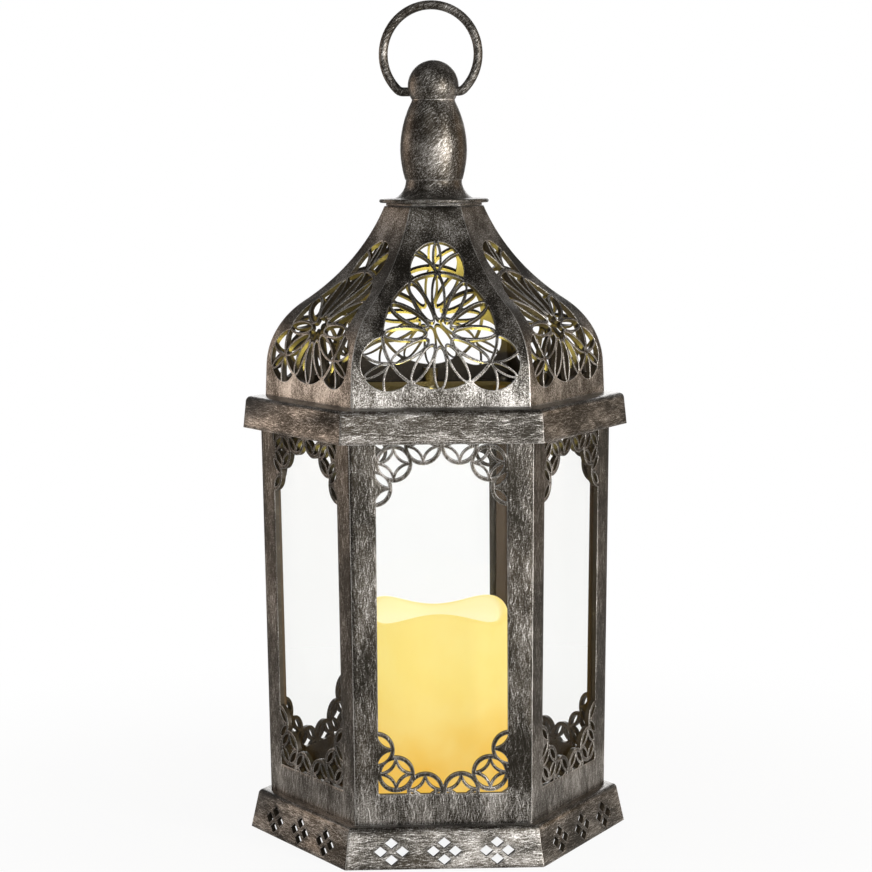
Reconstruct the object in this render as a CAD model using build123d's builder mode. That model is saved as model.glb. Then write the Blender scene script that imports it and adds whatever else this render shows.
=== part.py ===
from build123d import *
import os
from math import asin, cos, degrees, radians, sin, sqrt, tan

# Hexagonal Moroccan lantern with a battery candle, standing on its plinth.
# Millimetres, +Z up, origin at the centre of the plinth's underside.
# Corners of the hexagon lie at 0, 60, 120 ... degrees; the front face looks along -Y.

# ---------------------------------------------------------------- driving dimensions
SIDES = 6
STEP = 360 / SIDES
HALF_STEP = STEP / 2
FLAT = cos(radians(HALF_STEP))  # apothem of a hexagon over its circumradius

# Heights of the tiers
FLOOR_TOP = 14.6  # the floor plate's upper face, and the underside of the plinth's ledge
DECK_TOP = 16.6  # top of the plinth, where the body stands
EAVE_LOW = 175.0
CEILING = 187.0  # underside of the eave's plate, where the body ends
EAVE_EDGE = 188.3  # top of the eave's outer face
DOME_LOW = 188.9  # top of the eave's plate, where the dome stands
DOME_TOP = 268.9
CROWN_TOP = 270.3
PIVOT_Z = 317.0  # ring handle's pivot

# Distances from the centre to the flat faces
PLINTH_FOOT = 81.5 * FLAT
PLINTH_SHOULDER = 77.8 * FLAT
BODY_FOOT = 72.6 * FLAT
BODY_HEAD = 74.95 * FLAT
EAVE_FOOT = 82.4 * FLAT
EAVE_SHOULDER = 81.0 * FLAT

SHEET = 2.0  # thickness of the cast panels
SEAM = 0.04  # half the joint line left between neighbouring panels

# Side panel and its lace
WINDOW_HALF = 26.6
LOW_BAND = 12.9  # solid band below the lower lace
HIGH_BAND = 12.05  # solid band above the upper lace, mostly behind the eave
LACE_REACH = 40.0  # length of window that an end with lace takes up
LACE_R = 7.05  # centre-line radius of a lace ring
LACE_RIM = 0.6  # ring material outside the centre line
LACE_RIM_IN = 1.0  # ring material inside it
LACE_ARC = 0.55  # half the width of an inner arc
LACE_LOW = (7.4, 1.4)  # ring centres: from the middle, above the band
LACE_MID = (19.35, 8.4)
LACE_HIGH = (27.5, 18.5)

# Pane behind each panel
PANE_HALF = 30.4
PANE_THICK = 1.2

# Plinth piercing
DIAMOND_W = 2.9  # half diagonals
DIAMOND_H = 2.3
DIAMOND_PITCH = 21.7
DIAMOND_Z = 6.9
DIAMOND_DX = 4.5
DIAMOND_DZ = 3.35

# Dome profile: a straight foot, a convex shoulder, then a concave sweep to the neck
DOME_FOOT = 62.9
DOME_LEAN = 2.0  # degrees off vertical at the foot
DOME_FOOT_H = 13.0
SHOULDER_R = 35.3
SHOULDER_TURN = 51.3
SWEEP_R = 88.6
SWEEP_TURN = 33.5  # a little past the neck, where the wall is cut level

# Dome tracery, drawn in the front elevation
ROSE_Z = 218.9
ROSE_R = 23.3
ROSE_RIB = 1.3
PETALS = 12
PETAL_IN = 5.4
PETAL_OUT = 22.6
PETAL_HALF = 2.55
PETAL_RIB = 1.0
LOBE_R = 11.0
LOBE_OUT = 1.2  # how far outside the rose's circle a lobe is centred
LOBE_RIB = 0.95
LEAF_IN = 0.9
LEAF_OUT = 12.1
LEAF_HALF = 1.55
CURL_R = 14.0  # radius of the two curved ribs in a lobe
LOBE_ANGLES = (90, 210, 330)

# Finial
FLANGE_R = 23.3
FLANGE_Z = 272.2
GROOVE_R = 11.9
GROOVE_Z = 279.8
BULGE_R = 14.2
BULGE_Z = 292.5
NECK_R = 9.4
NECK_Z = 312.6
BALL_R = 10.8
BALL_Z = 319.4

# Ring handle: a round wire bent to a ring, its two ends turned in to the ball
RING_OUTER = 22.5
WIRE_R = 1.92
RING_Z = 355.15 - RING_OUTER
RING_TURN = -15.0  # the pivot axis is turned this much from +X
RING_BEND = 3.5
RING_SHIFT = -1.1  # the ring's play along its pivot, as it stands
PIVOT_BORE = WIRE_R + 0.08

# Screws
SCREW_R = 1.4
SCREW_HOLE = 1.55
SCREW_BORE = 1.43
HEAD_R = 2.6
HEAD_H = 1.7
POST_SCREW = 6.5  # how far the post screws stand inside the body's inner corner
DOME_SCREW = 56.5  # distance of the dome screws from the centre

# Candle
CANDLE_R = 30.9
CANDLE_TOP = 98.0
SHELL_IN = 28.5
BASE_FLANGE = 3.0
BASE_R = 28.3
POOL_Z = 83.5  # floor of the melted pool
BAY_Z = 27.4
BASE_TOP = 28.9
CELL_R = 5.25
CELL_L = 44.5
CELL_Y = 5.5
CELL_Z = 21.8
COVER_HALF = 26.0
COVER_Y = 11.0
COVER_TRAVEL = 4.4
COVER_TAB_X = (-17.5, 17.5)
COVER_TAB_L = 3.6
COVER_TAB_Y = 12.8
SWITCH_Y = 19.0
SWITCH_TRAVEL = 2.0  # each way from the middle; the knob rests at the +X end
SWITCH_SLOT = (7.6, 2.8)
SWITCH_WINDOW = (12.0, 6.4)
CANDLE_SCREWS = ((-15.0, 19.0), (15.0, 19.0), (0.0, -19.0))
BOARD_Z = 21.6
BOARD_SCREWS = ((-8.6, 19.0), (8.6, 19.0))
BOARD_SCREW_R = 0.8
LEAD_R = 0.42
LEAD_X = 1.27  # the leads stand this far either side of the middle
LEAD_Y = 14.8
HOLDER_TOP = 79.0

os.makedirs("parts", exist_ok=True)


# ---------------------------------------------------------------- shared helpers
def keep_part(part, name):
    """Label a finished piece and write its STEP file."""
    part.label = name
    export_step(part, f"parts/{name}.step")


def facing(side):
    """Direction of a face's outward normal, in degrees; side 0 is the front."""
    return -90 + STEP * side


def face_plane(side, out=0.0, height=0.0, lean=0.0):
    """Drawing plane of one face: local x along the face, y up it, z outwards."""
    turn = radians(facing(side))
    tilt = radians(lean)
    normal = (cos(turn) * cos(tilt), sin(turn) * cos(tilt), -sin(tilt))
    return Plane(
        origin=(out * cos(turn), out * sin(turn), height),
        x_dir=(-sin(turn), cos(turn), 0),
        z_dir=normal,
    )


# Radial section of the front face: local x outwards, y up
SECTION = Plane(origin=(0, 0, 0), x_dir=(0, -1, 0), z_dir=(-1, 0, 0))


def mitres(side, gap=0.0):
    """The two mitre planes of one face, each looking into the face's sector."""
    planes = []
    for edge, inward in ((-HALF_STEP, 90), (HALF_STEP, -90)):
        turn = radians(facing(side) + edge + inward)
        into = (cos(turn), sin(turn), 0)
        planes.append(Plane(origin=(gap * into[0], gap * into[1], 0), z_dir=into))
    return planes


def sector_of(section, reach=60.0, gap=0.0):
    """One sixth of a hexagonal moulding, from its radial section."""
    with BuildPart() as sector:
        extrude(section, amount=reach, dir=(1, 0, 0), both=True)
        for mitre in mitres(0, gap):
            split(bisect_by=mitre, keep=Keep.TOP)
    return sector.part


def hexagon(sector):
    """Six equal sectors joined into one closed moulding."""
    with BuildPart() as whole:
        with PolarLocations(0, SIDES):
            add(sector)
    return whole.part


def pan_screw(length, shank=SCREW_R, head=HEAD_R, head_h=HEAD_H):
    """Pan-head screw pointing up, its head's bearing face at z = 0."""
    with BuildPart() as screw:
        with BuildSketch():
            Circle(shank)
        extrude(amount=length)
        with BuildSketch():
            Circle(head)
        extrude(amount=-head_h)
        fillet(screw.edges().sort_by(Axis.Z)[0], head_h * 0.45)
        with BuildSketch(Plane.XY.offset(-head_h)):
            Rectangle(head * 1.1, head * 0.26)
            Rectangle(head * 0.26, head * 1.1)
        extrude(amount=head_h * 0.5, mode=Mode.SUBTRACT)
        chamfer(screw.edges().sort_by(Axis.Z)[-1], shank * 0.4)
    return screw.part


BODY_LEAN = degrees(asin((BODY_HEAD - BODY_FOOT) / (CEILING - DECK_TOP)))


def inner_corner(apothem):
    """Distance from the centre to the body's inner corner, where its faces have this apothem."""
    return (apothem - SHEET / cos(radians(BODY_LEAN))) / FLAT


CORNER_LOW = inner_corner(BODY_FOOT)
CORNER_HIGH = inner_corner(BODY_HEAD)
FLOOR_LOW = FLOOR_TOP - 1.6  # the floor plate's underside


# ---------------------------------------------------------------- plinth and floor
def make_plinth():
    """Flared plinth: pierced walls, a rounded shoulder and an inner ledge."""
    slope = (PLINTH_FOOT - PLINTH_SHOULDER) / DECK_TOP
    ledge_in = 52.0
    shoulder = 2.2
    cut_from = PLINTH_SHOULDER - 12
    with BuildSketch(SECTION) as section:
        with BuildLine():
            Polyline(
                (PLINTH_FOOT, 0),
                (PLINTH_SHOULDER, DECK_TOP),
                (ledge_in, DECK_TOP),
                (ledge_in, FLOOR_TOP),
                (PLINTH_FOOT - SHEET - slope * FLOOR_TOP, FLOOR_TOP),
                (PLINTH_FOOT - SHEET, 0),
                close=True,
            )
        make_face()
        crest = section.vertices().sort_by_distance((PLINTH_SHOULDER, DECK_TOP))[0]
        fillet(crest, shoulder)
    with BuildPart() as sector:
        add(sector_of(section.sketch))
        with BuildSketch(face_plane(0, out=cut_from)):
            with Locations((0, DIAMOND_Z)):
                with GridLocations(DIAMOND_PITCH, 0, 3, 1):
                    with Locations(
                        (DIAMOND_DX, 0), (-DIAMOND_DX, 0), (0, DIAMOND_DZ), (0, -DIAMOND_DZ)
                    ):
                        Polygon(
                            (DIAMOND_W, 0), (0, DIAMOND_H), (-DIAMOND_W, 0), (0, -DIAMOND_H)
                        )
        extrude(amount=20, mode=Mode.SUBTRACT)
    with BuildPart() as plinth:
        add(hexagon(sector.part))
        with BuildSketch(Plane.XY.offset(FLOOR_TOP)):
            with PolarLocations(CORNER_LOW - POST_SCREW, SIDES):
                Circle(SCREW_HOLE)
        extrude(amount=SHEET, mode=Mode.SUBTRACT)
    return plinth.part


def make_floor_plate():
    """Floor under the candle, with the battery hatch and the switch slot."""
    plate_r = 70.0
    play = 0.3
    hatch_low = -COVER_HALF - play
    hatch_high = COVER_HALF + COVER_TRAVEL + play
    with BuildPart() as plate:
        with BuildSketch(Plane.XY.offset(FLOOR_LOW)):
            RegularPolygon(plate_r, SIDES)
            with PolarLocations(CORNER_LOW - POST_SCREW, SIDES):
                Circle(SCREW_HOLE, mode=Mode.SUBTRACT)
            with Locations(((hatch_low + hatch_high) / 2, 0)):
                Rectangle(hatch_high - hatch_low, 2 * (COVER_Y + play), mode=Mode.SUBTRACT)
            # Notches that let the cover's tabs drop out once it has slid across
            with Locations(*[(x + COVER_TRAVEL, 0) for x in COVER_TAB_X]):
                Rectangle(COVER_TAB_L + 0.8, 2 * COVER_TAB_Y + 0.8, mode=Mode.SUBTRACT)
            with Locations((0, SWITCH_Y)):
                Rectangle(*SWITCH_WINDOW, mode=Mode.SUBTRACT)
            with Locations(*CANDLE_SCREWS):
                Circle(SCREW_HOLE, mode=Mode.SUBTRACT)
        extrude(amount=FLOOR_TOP - FLOOR_LOW)
    return plate.part


# ---------------------------------------------------------------- body
PANEL_LENGTH = (CEILING - DECK_TOP - 0.1) / cos(radians(BODY_LEAN))


def lace_petals():
    """Four petals of a lace ring, between the ring and its inner arcs."""
    with BuildSketch() as petals:
        with GridLocations(2 * LACE_R, 2 * LACE_R, 2, 2):
            Circle(LACE_R - LACE_ARC)
        Circle(LACE_R - LACE_RIM_IN, mode=Mode.INTERSECT)
    return petals.sketch


def lace_diamond():
    """Concave diamond left between the four inner arcs of a lace ring."""
    with BuildSketch() as diamond:
        Circle(LACE_R - LACE_RIM_IN)
        with GridLocations(2 * LACE_R, 2 * LACE_R, 2, 2):
            Circle(LACE_R + LACE_ARC, mode=Mode.SUBTRACT)
    return diamond.sketch


def window_end():
    """Lower end of the window's opening, its band at y = 0, with the lace left standing."""
    petals = lace_petals()
    diamond = lace_diamond()
    rings = (LACE_LOW, LACE_MID, LACE_HIGH)
    with BuildSketch() as end:
        with Locations((0, LACE_REACH / 2)):
            Rectangle(2 * WINDOW_HALF, LACE_REACH)
        for across, up in rings:
            with Locations((across, up), (-across, up)):
                Circle(LACE_R + LACE_RIM, mode=Mode.SUBTRACT)
        for across, up in rings:
            with Locations((across, up), (-across, up)):
                add(petals)
                if across < WINDOW_HALF:
                    add(diamond)
        with Locations((0, LACE_REACH / 2)):
            Rectangle(2 * WINDOW_HALF, LACE_REACH, mode=Mode.INTERSECT)
    return end.sketch


def make_window():
    """Whole opening of a side panel: a plain middle between two ends with lace."""
    end = window_end()
    head = PANEL_LENGTH - HIGH_BAND
    plain = head - LOW_BAND - 2 * LACE_REACH
    with BuildSketch() as window:
        with Locations((0, LOW_BAND)):
            add(end)
        with Locations(Location((0, head, 0), (180, 0, 0))):
            add(end)
        with Locations((0, LOW_BAND + LACE_REACH + plain / 2)):
            Rectangle(2 * WINDOW_HALF, plain)
    return window.sketch


def make_side_panel(side, window):
    """Cast side panel: two posts, two bands and the lace, mitred at the corners."""
    plane = face_plane(side, BODY_FOOT, DECK_TOP, BODY_LEAN)
    with BuildPart() as panel:
        with BuildSketch(plane):
            with Locations((0, PANEL_LENGTH / 2)):
                Rectangle(1.3 * BODY_HEAD, PANEL_LENGTH)  # wider than the face; the mitres trim it
            add(window, mode=Mode.SUBTRACT)
        extrude(amount=-SHEET)
        for mitre in mitres(side, SEAM):
            split(bisect_by=mitre, keep=Keep.TOP)
    return panel.part


def make_pane(side):
    """Clear pane, held behind the panel by the corner posts."""
    plane = face_plane(side, BODY_FOOT, DECK_TOP, BODY_LEAN)
    inner = plane.offset(-SHEET - 0.02)
    with BuildPart() as pane:
        with BuildSketch(inner):
            with Locations((0, PANEL_LENGTH / 2)):
                Rectangle(2 * PANE_HALF, PANEL_LENGTH - 0.4)
        extrude(amount=-PANE_THICK)
    return pane.part


def post_section(base, wing, depth, nose):
    """Section of a corner post; wing and depth are measured along and behind a face."""
    rebate = PANE_THICK + 0.1
    shoulder = 4.2  # from the corner to the pane's edge, along the face
    # Points down one side, given as distance along the face and depth behind it
    side = ((shoulder, 0.03), (shoulder, rebate), (wing, rebate), (wing, depth))
    half = [(-0.035, 0)] + [
        (-s * sin(radians(HALF_STEP)) - d * FLAT, s * FLAT - d * sin(radians(HALF_STEP)))
        for s, d in side
    ]
    middle = nose if nose else [(-depth / FLAT, 0)]
    points = half + middle + [(x, -y) for x, y in reversed(half[1:] + nose)]
    with BuildSketch(base) as section:
        with BuildLine():
            Polyline(*points, close=True)
        make_face()
    return section.sketch


def make_corner_post(corner):
    """Post inside a corner: slim beside the windows, with a thick block for a screw at each end."""
    turn = STEP * corner
    lean = (CORNER_HIGH - CORNER_LOW) / (CEILING - DECK_TOP)
    heading = radians(turn)
    along = Vector(lean * cos(heading), lean * sin(heading), 1)
    foot = Plane(
        origin=(CORNER_LOW * cos(heading), CORNER_LOW * sin(heading), DECK_TOP),
        x_dir=(cos(heading), sin(heading), 0),
        z_dir=(0, 0, 1),
    )
    head = Plane(
        origin=(CORNER_HIGH * cos(heading), CORNER_HIGH * sin(heading), CEILING),
        x_dir=(cos(heading), sin(heading), 0),
        z_dir=(0, 0, 1),
    )
    block = 16.0
    bore_depth = 14
    with BuildPart() as post:
        add(post_section(foot, 6.4, 2.3, nose=[]))
        extrude(amount=CEILING - DECK_TOP, dir=along)
        add(post_section(foot, 8.0, 2.9, nose=[(-10.2, 2.2)]))
        extrude(amount=block, dir=along)
        add(post_section(head, 8.0, 2.9, nose=[(-10.2, 2.2)]))
        extrude(amount=block, dir=along * -1)
        low = CORNER_LOW - POST_SCREW
        high = CORNER_HIGH - POST_SCREW
        with BuildSketch(Plane.XY.offset(DECK_TOP)):
            with Locations((low * cos(heading), low * sin(heading))):
                Circle(SCREW_BORE)
        extrude(amount=bore_depth, mode=Mode.SUBTRACT)
        with BuildSketch(Plane.XY.offset(CEILING)):
            with Locations((high * cos(heading), high * sin(heading))):
                Circle(SCREW_BORE)
        extrude(amount=-bore_depth, mode=Mode.SUBTRACT)
    return post.part


# ---------------------------------------------------------------- eave
def make_eave():
    """Overhanging eave: a skirt over the body's head and a plate with the light well."""
    well = 53.5
    slope = (EAVE_FOOT - EAVE_SHOULDER) / (EAVE_EDGE - EAVE_LOW)
    skirt_in = EAVE_FOOT - SHEET
    dome_margin = 0.6
    with BuildSketch(SECTION) as section:
        with BuildLine():
            Polyline(
                (EAVE_FOOT, EAVE_LOW),
                (EAVE_SHOULDER, EAVE_EDGE),
                (DOME_FOOT + dome_margin, DOME_LOW),
                (well, DOME_LOW),
                (well, CEILING),
                (skirt_in - slope * (CEILING - EAVE_LOW), CEILING),
                (skirt_in, EAVE_LOW),
                close=True,
            )
        make_face()
        edge = section.vertices().sort_by_distance((EAVE_SHOULDER, EAVE_EDGE))[0]
        fillet(edge, 2.4)
    with BuildPart() as eave:
        add(hexagon(sector_of(section.sketch)))
        with BuildSketch(Plane.XY.offset(CEILING)):
            with PolarLocations(CORNER_HIGH - POST_SCREW, SIDES):
                Circle(SCREW_HOLE)
            with PolarLocations(DOME_SCREW, SIDES, start_angle=HALF_STEP):
                Circle(SCREW_HOLE)
        extrude(amount=DOME_LOW - CEILING, mode=Mode.SUBTRACT)
    return eave.part


# ---------------------------------------------------------------- dome
def dome_section():
    """Radial section of the dome's wall, of even thickness."""
    lean = radians(DOME_LEAN)
    shoulder = (DOME_FOOT - DOME_FOOT_H * tan(lean), DOME_LOW + DOME_FOOT_H)
    with BuildSketch(SECTION) as section:
        with BuildLine() as wall:
            Line((DOME_FOOT, DOME_LOW), shoulder)
            turn_in = JernArc(wall.line @ 1, wall.line % 1, SHOULDER_R, SHOULDER_TURN)
            JernArc(turn_in @ 1, turn_in % 1, SWEEP_R, -SWEEP_TURN)
            offset(amount=SHEET, side=Side.LEFT)
        make_face()
    return section.sketch


def petal_loop(start, end, half_width, rib):
    """Rib bent to an ellipse that lies along +X from start to end."""
    half = (end - start) / 2
    with BuildSketch() as loop:
        with Locations(((start + end) / 2, 0)):
            Ellipse(half + rib / 2, half_width + rib / 2)
            Ellipse(half - rib / 2, half_width - rib / 2, mode=Mode.SUBTRACT)
    return loop.sketch


def tracery():
    """Openings of a dome panel, in the elevation of its face."""
    petal = petal_loop(PETAL_IN, PETAL_OUT, PETAL_HALF, PETAL_RIB)
    with BuildSketch() as rose:
        Circle(ROSE_R - ROSE_RIB / 2)
        with PolarLocations(0, PETALS):
            add(petal, mode=Mode.SUBTRACT)

    # Each lobe: one petal along its axis and two curved ribs beside it
    leaf = petal_loop(LEAF_IN, LEAF_OUT, LEAF_HALF, LOBE_RIB)
    spread = radians(46)
    chord = LOBE_R / 2
    rise = sqrt(CURL_R**2 - chord**2)
    centre = (chord * cos(spread) - rise * sin(spread), chord * sin(spread) + rise * cos(spread))
    with BuildSketch() as lobe:
        with Locations((LOBE_OUT, 0)):
            Circle(LOBE_R)
        add(leaf, mode=Mode.SUBTRACT)
        for side in (1, -1):
            with BuildSketch(mode=Mode.PRIVATE) as rib:
                with Locations((centre[0], side * centre[1])):
                    Circle(CURL_R + LOBE_RIB / 2)
                    Circle(CURL_R - LOBE_RIB / 2, mode=Mode.SUBTRACT)
            add(rib.sketch, mode=Mode.SUBTRACT)
        with Locations((-ROSE_R, 0)):
            Circle(ROSE_R + ROSE_RIB / 2, mode=Mode.SUBTRACT)

    with BuildSketch() as holes:
        with Locations((0, ROSE_Z)):
            add(rose.sketch)
            for angle in LOBE_ANGLES:
                turn = radians(angle)
                seat = (ROSE_R * cos(turn), ROSE_R * sin(turn), 0)
                with Locations(Location(seat, (0, 0, angle))):
                    add(lobe.sketch)
    return holes.sketch


def make_dome_sector():
    """Front dome panel with its tracery and the boss that takes its screw."""
    boss_top = 195.0
    boss_r = 3.3
    wall = DOME_FOOT - SHEET / 2
    with BuildPart() as panel:
        add(sector_of(dome_section(), gap=SEAM))
        split(bisect_by=Plane.XY.offset(DOME_LOW), keep=Keep.TOP)
        split(bisect_by=Plane.XY.offset(DOME_TOP), keep=Keep.BOTTOM)
        with BuildSketch(face_plane(0, out=10)):
            add(tracery())
        extrude(amount=60, mode=Mode.SUBTRACT)
        with BuildSketch(Plane.XY.offset(DOME_LOW)):
            with Locations((0, -DOME_SCREW)):
                Circle(boss_r)
            with Locations((0, -(DOME_SCREW + wall) / 2)):
                Rectangle(2 * boss_r, wall - DOME_SCREW)
        extrude(amount=boss_top - DOME_LOW)
        with BuildSketch(Plane.XY.offset(DOME_LOW)):
            with Locations((0, -DOME_SCREW)):
                Circle(SCREW_BORE)
        extrude(amount=5.4, mode=Mode.SUBTRACT)
    return panel.part


# ---------------------------------------------------------------- crown and finial
CLAMP_Z = 261.0
CLAMP_T = 2.0
CROWN_LOW = DOME_TOP + 0.1
FINIAL_BORE = 2.03
FINIAL_HOLE = 2.25


def make_crown_plate():
    """Hexagonal plate that closes the dome's neck under the finial."""
    with BuildPart() as plate:
        with BuildSketch(Plane.XY.offset(CROWN_LOW)):
            RegularPolygon(20.5, SIDES)
            Circle(FINIAL_HOLE, mode=Mode.SUBTRACT)
        extrude(amount=CROWN_TOP - CROWN_LOW)
    return plate.part


def make_clamp_plate():
    """Plate inside the neck that the finial's screw pulls up against the panels."""
    with BuildPart() as plate:
        with BuildSketch(Plane.XY.offset(CLAMP_Z)):
            RegularPolygon(21.2, SIDES)
            Circle(FINIAL_HOLE, mode=Mode.SUBTRACT)
        extrude(amount=CLAMP_T, taper=27)
    return plate.part


def make_finial():
    """Turned finial: flange, concave foot, long bulge, neck and drilled ball."""
    flare = 8.5
    upper = ((BULGE_R - NECK_R) ** 2 + (NECK_Z - BULGE_Z) ** 2) / (2 * (BULGE_R - NECK_R))
    lower = ((BULGE_R - GROOVE_R) ** 2 + (BULGE_Z - GROOVE_Z) ** 2) / (2 * (BULGE_R - GROOVE_R))
    mid_up = (BULGE_Z + NECK_Z) / 2
    mid_low = (BULGE_Z + GROOVE_Z) / 2
    foot = (GROOVE_R + flare - sqrt(flare**2 - (GROOVE_Z - FLANGE_Z) ** 2), FLANGE_Z)
    foot_mid = (GROOVE_Z + FLANGE_Z) / 2 - 1.2
    collar = sqrt(BALL_R**2 - (BALL_Z - NECK_Z - 0.9) ** 2)
    with BuildPart() as finial:
        with BuildSketch(Plane.XZ) as half:
            with BuildLine():
                Line((0, CROWN_TOP), (FLANGE_R - 0.6, CROWN_TOP))
                ThreePointArc(
                    (FLANGE_R - 0.6, CROWN_TOP),
                    (FLANGE_R, (CROWN_TOP + FLANGE_Z - 0.3) / 2),
                    (FLANGE_R - 0.6, FLANGE_Z - 0.3),
                )
                Line((FLANGE_R - 0.6, FLANGE_Z - 0.3), foot)
                ThreePointArc(
                    foot,
                    (GROOVE_R + flare - sqrt(flare**2 - (GROOVE_Z - foot_mid) ** 2), foot_mid),
                    (GROOVE_R, GROOVE_Z),
                )
                Line((GROOVE_R, GROOVE_Z), (GROOVE_R + 0.35, GROOVE_Z + 0.3))
                ThreePointArc(
                    (GROOVE_R + 0.35, GROOVE_Z + 0.3),
                    (BULGE_R - lower + sqrt(lower**2 - (BULGE_Z - mid_low) ** 2), mid_low),
                    (BULGE_R, BULGE_Z),
                )
                ThreePointArc(
                    (BULGE_R, BULGE_Z),
                    (BULGE_R - upper + sqrt(upper**2 - (mid_up - BULGE_Z) ** 2), mid_up),
                    (NECK_R, NECK_Z),
                )
                Line((NECK_R, NECK_Z), (collar, NECK_Z + 0.9))
                ThreePointArc(
                    (collar, NECK_Z + 0.9),
                    (BALL_R * cos(radians(20)), BALL_Z + BALL_R * sin(radians(20))),
                    (0, BALL_Z + BALL_R),
                )
                Line((0, BALL_Z + BALL_R), (0, CROWN_TOP))
            make_face()
        revolve(axis=Axis.Z)
        pivot = radians(RING_TURN)
        across = (cos(pivot), sin(pivot), 0)
        with BuildSketch(Plane(origin=(0, 0, PIVOT_Z), z_dir=across)):
            Circle(PIVOT_BORE)
        extrude(amount=2 * BALL_R, both=True, mode=Mode.SUBTRACT)
        with BuildSketch(Plane.XY.offset(CROWN_TOP)):
            Circle(FINIAL_BORE)
        extrude(amount=18, mode=Mode.SUBTRACT)
    return finial.part


def make_ring():
    """Ring handle: one round wire, a ring whose ends turn in along the pivot."""
    radius = RING_OUTER - WIRE_R
    bend_z = PIVOT_Z + RING_BEND
    bend_x = sqrt((radius - RING_BEND) ** 2 - (RING_Z - bend_z) ** 2)
    reach = radius / (radius - RING_BEND)
    join = (bend_x * reach, RING_Z - (RING_Z - bend_z) * reach)
    stub = 5.6
    pivot = radians(RING_TURN)
    across = Vector(cos(pivot), sin(pivot), 0)
    frame = Plane(origin=across * RING_SHIFT, x_dir=across, z_dir=across.cross(Vector(0, 0, 1)))
    dip = radians(-67)
    with BuildPart() as ring:
        with BuildLine(frame) as path:
            Line((stub, PIVOT_Z), (bend_x, PIVOT_Z))
            ThreePointArc(
                (bend_x, PIVOT_Z),
                (bend_x + RING_BEND * cos(dip), bend_z + RING_BEND * sin(dip)),
                join,
            )
            ThreePointArc(join, (0, RING_Z + radius), (-join[0], join[1]))
            ThreePointArc(
                (-join[0], join[1]),
                (-bend_x - RING_BEND * cos(dip), bend_z + RING_BEND * sin(dip)),
                (-bend_x, PIVOT_Z),
            )
            Line((-bend_x, PIVOT_Z), (-stub, PIVOT_Z))
        with BuildSketch(Plane(origin=path.line @ 0, z_dir=path.line % 0)):
            Circle(WIRE_R)
        sweep(path=path.line)
    return ring.part


# ---------------------------------------------------------------- candle
def make_candle_shell():
    """Cast wax-look sleeve: straight wall, rounded rim and a pool with a light hole."""
    low = FLOOR_TOP + BASE_FLANGE
    rim_r = 2.15
    rim_in = CANDLE_R - 2 * rim_r
    rim_z = CANDLE_TOP - rim_r
    under = POOL_Z - 2.5
    bank = (25.6, POOL_Z + 5)  # where the pool's bank meets the inner wall
    shore = (17.6, POOL_Z)
    lamp_hole = 5.2
    with BuildPart() as shell:
        with BuildSketch(Plane.XZ):
            with BuildLine():
                Polyline((SHELL_IN, low), (CANDLE_R, low), (CANDLE_R, rim_z))
                ThreePointArc((CANDLE_R, rim_z), (CANDLE_R - rim_r, CANDLE_TOP), (rim_in, rim_z))
                Line((rim_in, rim_z), bank)
                ThreePointArc(bank, (22.6, POOL_Z + 1.6), shore)
                Polyline(shore, (lamp_hole, POOL_Z), (lamp_hole, under), (22.5, under))
                Polyline((22.5, under), (SHELL_IN, under - 6), (SHELL_IN, low))
            make_face()
        revolve(axis=Axis.Z)
    return shell.part


def make_candle_base():
    """Moulded base of the candle: battery bay, board posts and screw bosses."""
    flange_top = FLOOR_TOP + BASE_FLANGE
    wall = 1.4
    bay_long = (50.8, 18.4)  # room for the contacts, then for the two cells
    bay_wide = (45.6, 22.4)
    recess_top = 16.1
    recess_low = -COVER_HALF - 0.3
    recess_high = CANDLE_R + 0.5  # open at the flange's edge
    with BuildPart() as base:
        with BuildSketch(Plane.XY.offset(FLOOR_TOP)):
            Circle(CANDLE_R)
        extrude(amount=BASE_FLANGE)
        with BuildSketch(Plane.XY.offset(flange_top)):
            Circle(BASE_R)
            Circle(BASE_R - wall, mode=Mode.SUBTRACT)
        extrude(amount=3.4)
        with BuildSketch(Plane.XY.offset(flange_top)):
            Rectangle(bay_long[0] + 2 * wall, bay_long[1] + 2 * wall)
            Rectangle(bay_wide[0] + 2 * wall, bay_wide[1] + 2 * wall)
            Circle(BASE_R, mode=Mode.INTERSECT)
        extrude(amount=BASE_TOP - flange_top)
        with BuildSketch(Plane.XY.offset(flange_top)):
            with Locations(*CANDLE_SCREWS):
                Circle(3.0)
        extrude(amount=7.4)
        with BuildSketch(Plane.XY.offset(flange_top)):
            with Locations(*BOARD_SCREWS):
                Circle(1.9)
        extrude(amount=BOARD_Z - flange_top)
        # Battery bay, open underneath
        with BuildSketch(Plane.XY.offset(FLOOR_TOP)):
            Rectangle(*bay_long)
            Rectangle(*bay_wide)
        extrude(amount=BAY_Z - FLOOR_TOP, mode=Mode.SUBTRACT)
        # Recess in which the battery cover slides
        with BuildSketch(Plane.XY.offset(FLOOR_TOP)):
            with Locations(((recess_low + recess_high) / 2, 0)):
                Rectangle(recess_high - recess_low, 2 * COVER_TAB_Y + 0.5)
        extrude(amount=recess_top - FLOOR_TOP, mode=Mode.SUBTRACT)
        # Slot for the switch knob
        with BuildSketch(Plane.XY.offset(FLOOR_TOP)):
            with Locations((0, SWITCH_Y)):
                Rectangle(*SWITCH_SLOT)
        extrude(amount=BASE_FLANGE, mode=Mode.SUBTRACT)
        with BuildSketch(Plane.XY.offset(FLOOR_TOP)):
            with Locations(*CANDLE_SCREWS):
                Circle(SCREW_BORE)
        extrude(amount=8.4, mode=Mode.SUBTRACT)
        with BuildSketch(Plane.XY.offset(BOARD_Z)):
            with Locations(*BOARD_SCREWS):
                Circle(BOARD_SCREW_R + 0.03)
        extrude(amount=-4.2, mode=Mode.SUBTRACT)
    return base.part


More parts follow.
